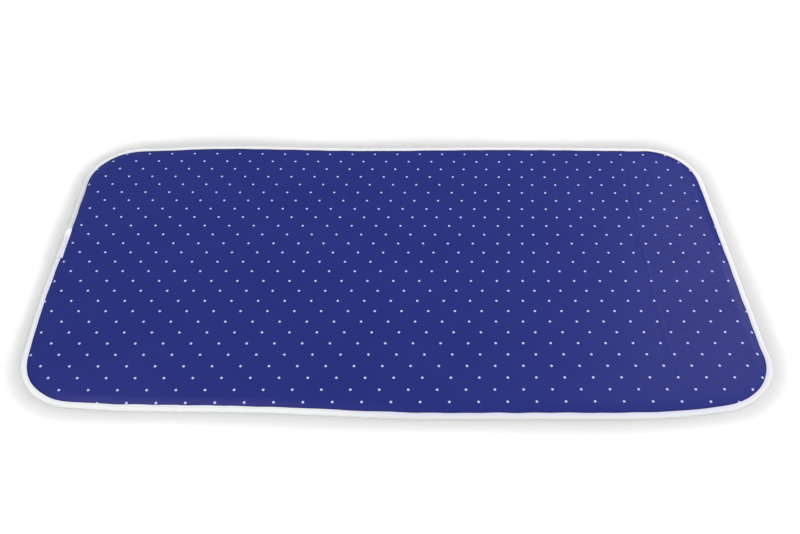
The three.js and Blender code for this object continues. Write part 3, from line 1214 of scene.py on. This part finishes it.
@dataclass
class Binding:
    """The tape: one strip folded over the edge, raw edges turned in, its ends lapping on the left side.

    The lap runs towards the middle of the left side, and its bumps are placed by the way into it. The painted
    shade is given at ways round the pad.
    """

    outline: Outline
    stack: Stack
    face: float = 10.0 * MM
    under: float = 11.0 * MM
    nose: float = 1.6 * MM
    ply: float = 0.23 * MM
    ply_gap: float = 0.03 * MM
    turned_in: float = 6.6 * MM
    lap_end: float = 6.0 * MM
    lap_length: float = 72.0 * MM
    lap_ramp: float = 5.0 * MM
    lap_slant: float = 3.0 * MM
    lap_bulge: Bump = Bump(place=9.0 * MM, spread=9.0 * MM, height=0.8 * MM)
    knuckle: Bump = Bump(place=3.0 * MM, spread=6.0 * MM, height=0.9 * MM)
    # Painted shade along the tape at ways round the pad: 0 white, 1 shaded, 2 deep shade
    wear: tuple[Pair, ...] = (
        (0.0, 0.9), (0.20, 0.5), (0.30, 0.1), (0.75, 0.1), (0.95, 1.0), (1.40, 0.8), (1.70, 0.5), (2.20, 0.3),
        (3.30, 0.3), (3.40, 0.8), (3.45, 2.0), (3.575, 2.0), (3.583, 0.0), (3.595, 0.0), (3.602, 1.1),
    )
    widened: Bump = Bump(place=-0.39, spread=0.11, height=1.3 * MM)
    far_narrower: float = 1.0 * MM
    pucker: float = 0.16 * MM
    pucker_lengths: Pair = (11.0 * MM, 34.0 * MM)
    drift: float = 0.35 * MM
    drift_lengths: Pair = (25.0 * MM, 140.0 * MM)
    waves: int = 5
    station_step: float = 3.0 * MM
    turned_steps: int = 5
    leg_steps: int = 6
    nose_steps: int = 8
    seed: int = 7
    finish: FoldedTape = FoldedTape()

    @property
    def last_end(self) -> float:
        """How far round the pad the tape's upper end comes."""
        return self.outline.perimeter(self.stack.seam) - self.lap_end

    def leg(self, face: Face, width: float) -> np.ndarray:
        """Draws one leg of the folded tape in section, along the middle of its ply.

        Args:
            face: The face of the pad that the leg lies on.
            width: How far in the leg reaches.

        Returns:
            Rows of inset and height, from the raw edge turned in under the leg, round the fold, to the nose.
        """
        half = self.ply / 2
        turned = self.ply + self.ply_gap + half
        fold = (turned - half) / 2
        inwards = np.linspace(width - self.turned_in, width - fold, self.turned_steps)
        outwards = np.linspace(width - fold, self.stack.dent_start, self.leg_steps)
        insets = np.concatenate([inwards, [width], outwards, [self.nose]])
        depths = np.repeat([turned, (half + turned) / 2, half], [self.turned_steps, 1, self.leg_steps + 1])
        depths = depths + self.stack.dent_depth * self.stack.dent(insets)
        heights = self.stack.rim_height - depths if face is Face.UP else depths
        return np.column_stack([insets, heights])

    def section(self) -> TapeSection:
        """Draws the whole folded tape in section: along the outer side of its ply, and back along the inner.

        Returns:
            The section.
        """
        half = self.ply / 2
        middle = self.stack.rim_height / 2
        turn = np.linspace(0, math.pi, self.nose_steps + 1)[1:-1]
        nose = [self.nose - (self.nose - half) * np.sin(turn), middle + (middle - half) * np.cos(turn)]
        face_leg, under_leg = self.leg(Face.UP, self.face), self.leg(Face.DOWN, self.under)[::-1]
        line = np.concatenate([face_leg, np.column_stack(nose), under_leg])
        along = np.gradient(line, axis=0)
        along /= np.linalg.norm(along, axis=1, keepdims=True)
        normal = np.column_stack([-along[:, 1], along[:, 0]])
        lengths = np.concatenate([[0.0], np.cumsum(np.linalg.norm(np.diff(line, axis=0), axis=1))])
        fold = self.turned_steps + 1
        face_part, under_part = slice(fold, fold + self.leg_steps), slice(-fold - self.leg_steps, -fold)
        face_seam = np.interp(self.stack.seam, line[face_part, 0][::-1], lengths[face_part][::-1])
        under_seam = np.interp(self.stack.seam, line[under_part, 0], lengths[under_part])
        on_face = np.arange(len(line)) < len(line) // 2
        from_seam = np.where(on_face, lengths - face_seam, under_seam - lengths)
        return TapeSection(
            np.concatenate([line + half * normal, (line - half * normal)[::-1]]),
            np.concatenate([normal, normal[::-1]]),
            np.concatenate([from_seam, from_seam[::-1]]),
            float(lengths[-1]),
        )

    def wander(self, way: np.ndarray, wavelengths: Pair, rng: np.random.Generator) -> np.ndarray:
        """Adds up waves of uneven length into one that closes on itself round the pad.

        Args:
            way: Distances round the pad.
            wavelengths: The shortest wavelength and the longest.
            rng: Where the uneven values come from.

        Returns:
            The wave, mostly between -1 and 1.
        """
        round_it = self.outline.perimeter(self.stack.seam)
        total = np.zeros_like(way)
        for _ in range(self.waves):
            count = round(round_it / rng.uniform(*wavelengths))
            total += np.sin(TURN * count * way / round_it + rng.uniform(0, TURN))
        return total / math.sqrt(self.waves)

    def uneven(self, way: np.ndarray, out: np.ndarray) -> tuple[np.ndarray, np.ndarray]:
        """Works out how unevenly the tape lies round the pad.

        Args:
            way: Distances round the pad.
            out: The outward directions there.

        Returns:
            How far the folded edge stands up from the cover, and how far in it lies from its usual place.
        """
        rng = np.random.default_rng(self.seed)
        lift = self.pucker * (0.5 + 0.5 * self.wander(way, self.pucker_lengths, rng))
        drift = self.drift * self.wander(way, self.drift_lengths, rng)
        return lift, drift - self.far_narrower * np.maximum(out[:, 1], 0.0)

    def edge_share(self, inset: np.ndarray | float, start: float) -> np.ndarray:
        """How much of a shift of the folded edge is felt this far in: 0 up to the start, 1 at the fold."""
        return smooth_step((inset - start) / (self.face - start))

    def into_lap(self, way: np.ndarray) -> np.ndarray:
        """How far into the lap each distance round the pad comes, below 0 before it."""
        return way - (self.last_end - self.lap_length)

    def lapped(self, way: np.ndarray) -> np.ndarray:
        """How far the tape is raised round the pad: by its own two plies where it lies over its first end."""
        return 2 * (self.ply + self.ply_gap) * smooth_step(self.into_lap(way) / self.lap_ramp + 1)

    def shaped(self, section: TapeSection, way: np.ndarray) -> np.ndarray:
        """Carries the section round the pad: uneven, wider in places, and raised where the tape laps.

        Args:
            section: The section.
            way: The distances round the pad at which it is set.

        Returns:
            The tape's places before the lay, one section after another.
        """
        inset, height = section.places.T
        centre, out = self.outline.stations(way, self.stack.seam)
        lift, drift = self.uneven(way, out)
        over = self.lapped(way)
        into_lap = self.into_lap(way)
        wider = self.lap_slant * np.clip(into_lap / self.lap_length, 0.0, 1.0)
        wider += self.widened.at(centre[:, 0]) * np.maximum(-out[:, 1], 0.0)
        near_fold = self.edge_share(inset, self.stack.dent_start)
        past_seam = self.edge_share(inset, self.stack.seam)
        on_face = height > self.stack.rim_height / 2
        crown = on_face * np.sin(math.pi * np.clip(inset / self.stack.seam, 0.0, 1.0))
        insets = inset - np.outer(over, section.facing[:, 0])
        insets += np.outer(drift, near_fold) + np.outer(wider, past_seam)
        insets -= np.outer(self.lap_bulge.at(into_lap), 1 - near_fold)
        heights = height - np.outer(over, section.facing[:, 1])
        heights += np.outer(lift, near_fold * on_face) + np.outer(self.knuckle.at(into_lap), crown)
        flat = centre[:, None, :] + (self.outline.corner_radius - insets)[:, :, None] * out[:, None, :]
        return np.concatenate([flat, heights[:, :, None]], axis=2).reshape(-1, 3)

    @staticmethod
    def close_ends(piece: Piece) -> None:
        """Closes the strip's two cut ends, and turns all its faces outwards.

        Args:
            piece: The strip.
        """
        only_selected(piece)
        bpy.ops.object.mode_set(mode="EDIT")
        bpy.ops.mesh.select_all(action="DESELECT")
        bpy.ops.mesh.select_mode(type="EDGE")
        bpy.ops.mesh.select_non_manifold()
        bpy.ops.mesh.edge_face_add()
        bpy.ops.mesh.select_all(action="SELECT")
        bpy.ops.mesh.normals_make_consistent(inside=False)
        bpy.ops.object.mode_set(mode="OBJECT")
        piece.data.shade_smooth()

    def build(self) -> None:
        """Makes the tape."""
        section = self.section()
        start = -self.lap_end - self.lap_length
        count = int(round((self.last_end - start) / self.station_step)) + 1
        way = np.linspace(start, self.last_end, count)
        quads = wall(count, len(section.places), closed=False)
        piece = mesh_piece("binding_tape", self.outline.laid(self.shaped(section, way)), quads)
        along = np.repeat(way, len(section.places))
        # The tape's painted shade at each place along it
        shade = np.interp(along, *zip(*self.wear))
        from_seam = np.tile(section.from_seam, count)
        maps = {self.finish.tape_map: (along, from_seam), self.finish.wear_map: (shade, shade)}
        for name, rows in maps.items():
            sewn_map(piece, name, np.column_stack(rows)[quads.ravel()])
        self.close_ends(piece)
        joined(piece, "edge_binding", self.finish.material())
        self.last_end - start


@dataclass
class Seam:
    """The lockstitch round the edge: one thread on each face, drawn into the tape at every stitch."""

    outline: Outline
    stack: Stack
    binding: Binding
    stitch: float = FoldedTape.stitch
    thread: float = 0.4 * MM
    clear: float = 0.02 * MM
    plunge: float = 0.5 * MM
    plunge_power: int = 3
    steps: int = 6
    sides: int = 6
    finish: SewingThread = SewingThread()

    def path(self, face: Face, way: np.ndarray, centre: np.ndarray, out: np.ndarray) -> np.ndarray:
        """Leads the thread round the pad, along the tape's uneven line and into it at every stitch.

        Args:
            face: The face that it lies on.
            way: Distances round the pad.
            centre: The centres that the places there are set out from.
            out: The outward directions there.

        Returns:
            The middle of the thread before the lay, one row each.
        """
        share = self.binding.edge_share(self.stack.seam, self.stack.dent_start)
        lift, drift = (share * one for one in self.binding.uneven(way, out))
        flat = centre + (self.outline.corner_radius - self.stack.seam - drift)[:, None] * out
        in_stitch = np.mod(np.arange(len(way)) / self.steps, 1.0)
        sunk = self.plunge * (1 - np.sin(math.pi * in_stitch)) ** self.plunge_power
        off_lap = smooth_step((way - self.binding.last_end) / self.stitch + 0.5)
        above = self.clear + self.thread / 2 - sunk + self.binding.lapped(way) * (1 - off_lap)
        bed = self.stack.dent_depth
        height = self.stack.rim_height - bed + above + lift if face is Face.UP else bed - above
        return np.column_stack([flat, height])

    def build(self, name: str, node: str, face: Face, material: Material) -> None:
        """Makes the thread on one face.

        Args:
            name: The piece's name.
            node: The solid that it stands for.
            face: The face that it lies on.
            material: Its material.
        """
        round_it = self.outline.perimeter(self.stack.seam)
        count = round(round_it / self.stitch) * self.steps
        way = np.arange(count) * round_it / count
        centre, out = self.outline.stations(way, self.stack.seam)
        path = self.path(face, way, centre, out)
        along = np.roll(path, -1, axis=0) - np.roll(path, 1, axis=0)
        along /= np.linalg.norm(along, axis=1, keepdims=True)
        level = np.column_stack([out, np.zeros(count)])
        upright = np.cross(along, level)
        angle = (TURN * np.arange(self.sides) / self.sides)[None, :, None]
        spokes = np.cos(angle) * level[:, None, :] + np.sin(angle) * upright[:, None, :]
        places = path[:, None, :] + self.thread / 2 * spokes
        quads = wall(count, self.sides, closed=True)
        piece = mesh_piece(name, self.outline.laid(places.reshape(-1, 3)), quads)
        here = np.arange(self.sides)
        after = way + round_it / count
        u = np.stack([way, after, after, way], axis=1)[:, None, :]
        v = np.stack([here, here, here + 1, here + 1], axis=1)[None, :, :] / self.sides
        sewn_map(piece, self.finish.thread_map, np.stack(np.broadcast_arrays(u, v), axis=3).reshape(-1, 2))
        joined(piece, node, material)


@dataclass(frozen=True)
class SoftLamp:
    """A soft lamp: its power and size, where it hangs, what it shines at, and whether it only adds gloss."""

    name: str
    power: float
    size: Pair
    place: Place
    aim: Place
    gloss_only: bool = True


@dataclass(frozen=True)
class Studio:
    """A plain pale floor, soft light from all round, and the camera."""

    floor_size: float = 30.0
    floor_below: float = 0.1 * MM
    sky: float = 0.93
    sky_tint: Colour = (0.965, 1.0, 0.965)
    sky_side: float = 0.40
    sky_far: Pair = (0.74, 0.95)
    sky_far_low: float = 0.25
    sky_seen: float = 1.1
    lamp_tint: Colour = (1.0, 0.70, 1.05)
    soft_lamps: tuple[SoftLamp, ...] = (
        SoftLamp("key", 11.0, (0.5, 1.7), (1.75, 1.15, 1.40), (0.5, 0.0, 0.0), gloss_only=False),
        SoftLamp("fill", 14.0, (0.7, 0.4), (-0.95, -0.45, 1.8), (-0.40, -0.30, 0.0)),
        SoftLamp("corner", 3.5, (0.4, 0.4), (2.04, -0.29, 1.67), (0.60, -0.30, 0.0)),
    )
    low_lamps: int = 16
    low_height: float = math.radians(9.8)
    low_swing: float = math.radians(1.8)
    low_side_swing: float = math.radians(1.2)
    low_softness: float = math.radians(7.0)
    low_strength: float = 0.49
    low_strength_swing: float = -0.25
    lens: float = 34.0
    sensor: float = 36.0
    camera_place: Place = (-0.0123, -0.9288, 1.1186)
    pitch: float = math.radians(50.628)
    yaw: float = math.radians(-1.269)
    roll: float = math.radians(1.014)

    def floor(self) -> Piece:
        """Lays the floor under the pad.

        Returns:
            The floor.
        """
        bpy.ops.object.select_all(action="DESELECT")
        bpy.ops.mesh.primitive_plane_add(size=self.floor_size, location=(0.0, 0.0, -self.floor_below))
        floor = bpy.context.object
        floor.name = "studio_floor"
        floor.data.materials.append(FloorPaint().material())
        return floor

    def surroundings(self) -> None:
        """Lights the scene softly: more from the right, less low on the far side, and white to the camera."""
        world = bpy.data.worlds.new("studio")
        world.use_nodes = True
        bpy.context.scene.world = world
        bench = NodeBench(world.node_tree, "Background")
        x, y, _ = bench.split(bench.add("TexCoord", {}).outputs["Generated"])
        side = bench.math("MULTIPLY_ADD", x, self.sky * self.sky_side, self.sky)
        strength = bench.math("MULTIPLY", side, bench.ramp(y, *self.sky_far, 1.0, self.sky_far_low))
        seen = bench.math("MULTIPLY", bench.add("LightPath", {}).outputs["Is Camera Ray"], self.sky_seen)
        bench.surface(color=self.sky_tint, strength=bench.math("MAXIMUM", strength, seen))

    @staticmethod
    def lamp(name: str, kind: str, place: Vector, aim: Vector) -> Piece:
        """Hangs a lamp.

        Args:
            name: The lamp's name.
            kind: Blender's kind of light.
            place: Where it hangs.
            aim: The point that it shines at.

        Returns:
            The lamp.
        """
        lamp = bpy.data.objects.new(name, bpy.data.lights.new(name, kind))
        lamp.rotation_euler = (aim - place).to_track_quat("-Z", "Y").to_euler()
        lamp.location = place
        bpy.context.scene.collection.objects.link(lamp)
        return lamp

    def hang_soft_lamps(self) -> None:
        """Hangs a soft lamp beyond the far right corner, and two more for the gloss of the near edge."""
        for soft in self.soft_lamps:
            lamp = self.lamp(soft.name, "AREA", Vector(soft.place), Vector(soft.aim))
            lamp.data.shape = "RECTANGLE"
            lamp.data.size, lamp.data.size_y = soft.size
            lamp.data.energy = soft.power
            lamp.data.color = self.lamp_tint
            lamp.visible_diffuse = not soft.gloss_only

    def set_low_lamps(self, floor: Piece) -> None:
        """Sets low lamps all round for the floor alone, so that the thin pad has a soft shadow on every side.

        Args:
            floor: The floor.
        """
        lit = bpy.data.collections.new("lit_by_low_lamps")
        lit.objects.link(floor)
        for number in range(self.low_lamps):
            turn = TURN * (number + 0.5) / self.low_lamps
            height = self.low_height + self.low_swing * math.sin(turn) + self.low_side_swing * math.cos(turn)
            place = Vector((math.cos(turn), math.sin(turn), math.tan(height)))
            lamp = self.lamp(f"low_{number}", "SUN", place, Vector())
            lamp.data.angle = self.low_softness
            share = 1 + self.low_strength_swing * math.sin(turn)
            lamp.data.energy = self.low_strength * share / math.sin(height)
            lamp.light_linking.receiver_collection = lit

    def camera(self) -> None:
        """Sets the camera where the picture was taken from."""
        forward = Vector((0.0, math.cos(self.pitch), -math.sin(self.pitch)))
        up = Vector((0.0, math.sin(self.pitch), math.cos(self.pitch)))
        turn = Matrix.Rotation(self.yaw, 3, "Z")
        forward, up, right = turn @ forward, turn @ up, turn @ Vector((1.0, 0.0, 0.0))
        lean_right = math.cos(self.roll) * right + math.sin(self.roll) * up
        lean_up = -math.sin(self.roll) * right + math.cos(self.roll) * up
        pose = Matrix((lean_right, lean_up, -forward)).transposed().to_4x4()
        pose.translation = Vector(self.camera_place)
        data = bpy.data.cameras.new("camera")
        data.lens = self.lens
        data.sensor_width = self.sensor
        camera = bpy.data.objects.new("camera", data)
        camera.matrix_world = pose
        bpy.context.scene.collection.objects.link(camera)
        bpy.context.scene.camera = camera

    def build(self) -> None:
        """Sets the studio up, and shows its light without a film look."""
        floor = self.floor()
        self.surroundings()
        self.hang_soft_lamps()
        self.set_low_lamps(floor)
        self.camera()
        bpy.context.scene.view_settings.view_transform = "Standard"
        bpy.context.scene.view_settings.look = "None"


def main() -> None:
    """Builds the studio and the pad, piece by piece from the face down, and notes how many solids there are
    to dress.
    """
    logging.basicConfig(level=logging.INFO, format="%(message)s")
    log.info("solids to dress: %d", len(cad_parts))
    outline, stack = Outline(), Stack()
    Studio().build()
    cover, underside = Cover(outline, stack).build()
    Padding(outline, stack).build(cover, underside)
    binding = Binding(outline, stack)
    binding.build()
    seam = Seam(outline, stack, binding)
    thread = seam.finish.material()
    seam.build("face_stitches", "needle_thread", Face.UP, thread)
    seam.build("underside_stitches", "bobbin_thread", Face.DOWN, thread)


if __name__ == "__main__":
    main()
